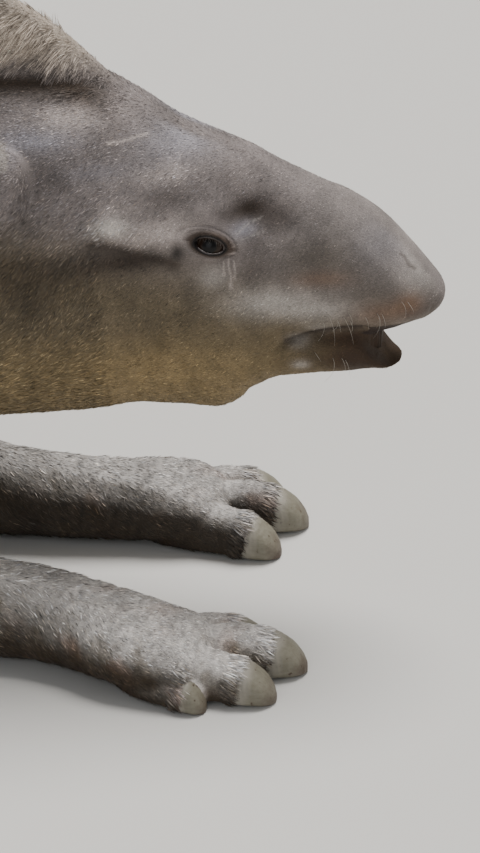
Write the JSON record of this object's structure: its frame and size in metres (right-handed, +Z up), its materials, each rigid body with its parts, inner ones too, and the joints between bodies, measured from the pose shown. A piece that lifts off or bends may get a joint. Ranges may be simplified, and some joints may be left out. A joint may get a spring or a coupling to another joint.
{
  "type": "lowland tapir",
  "caption": "Life-size lowland tapir lying on its belly, forelegs stretched forward, head held level above them and mouth slightly open.",
  "frame": {"origin": "on the floor, under the middle of the animal's bounding box", "axes": "+X from rump to snout, +Y to the animal's left, +Z up"},
  "size_m": [1.8248, 0.6692, 0.5825],
  "materials": {
    "coat": "short matt hair, brown-grey above, tan on cheek and throat, pale grey on the lower legs",
    "hoof": "dull pale horn",
    "eye": "wet, dark brown"
  },
  "bodies": {
    "root": {"torso": "coat", "neck": "coat", "head": "coat", "tail": "coat", "ear_right": "coat", "eye_right": "eye", "upper_foreleg_right": "coat", "lower_foreleg_right": "coat", "thigh_right": "coat", "shank_right": "coat", "hind_foot_right": "coat", "fore_hoof_right_1": "hoof", "fore_hoof_right_2": "hoof", "fore_hoof_right_3": "hoof", "fore_hoof_right_4": "hoof", "hind_hoof_right_1": "hoof", "hind_hoof_right_2": "hoof", "hind_hoof_right_3": "hoof", "ear_left": "coat", "eye_left": "eye", "upper_foreleg_left": "coat", "lower_foreleg_left": "coat", "thigh_left": "coat", "shank_left": "coat", "hind_foot_left": "coat", "fore_hoof_left_1": "hoof", "fore_hoof_left_2": "hoof", "fore_hoof_left_3": "hoof", "fore_hoof_left_4": "hoof", "hind_hoof_left_1": "hoof", "hind_hoof_left_2": "hoof", "hind_hoof_left_3": "hoof"}
  },
  "joints": []
}
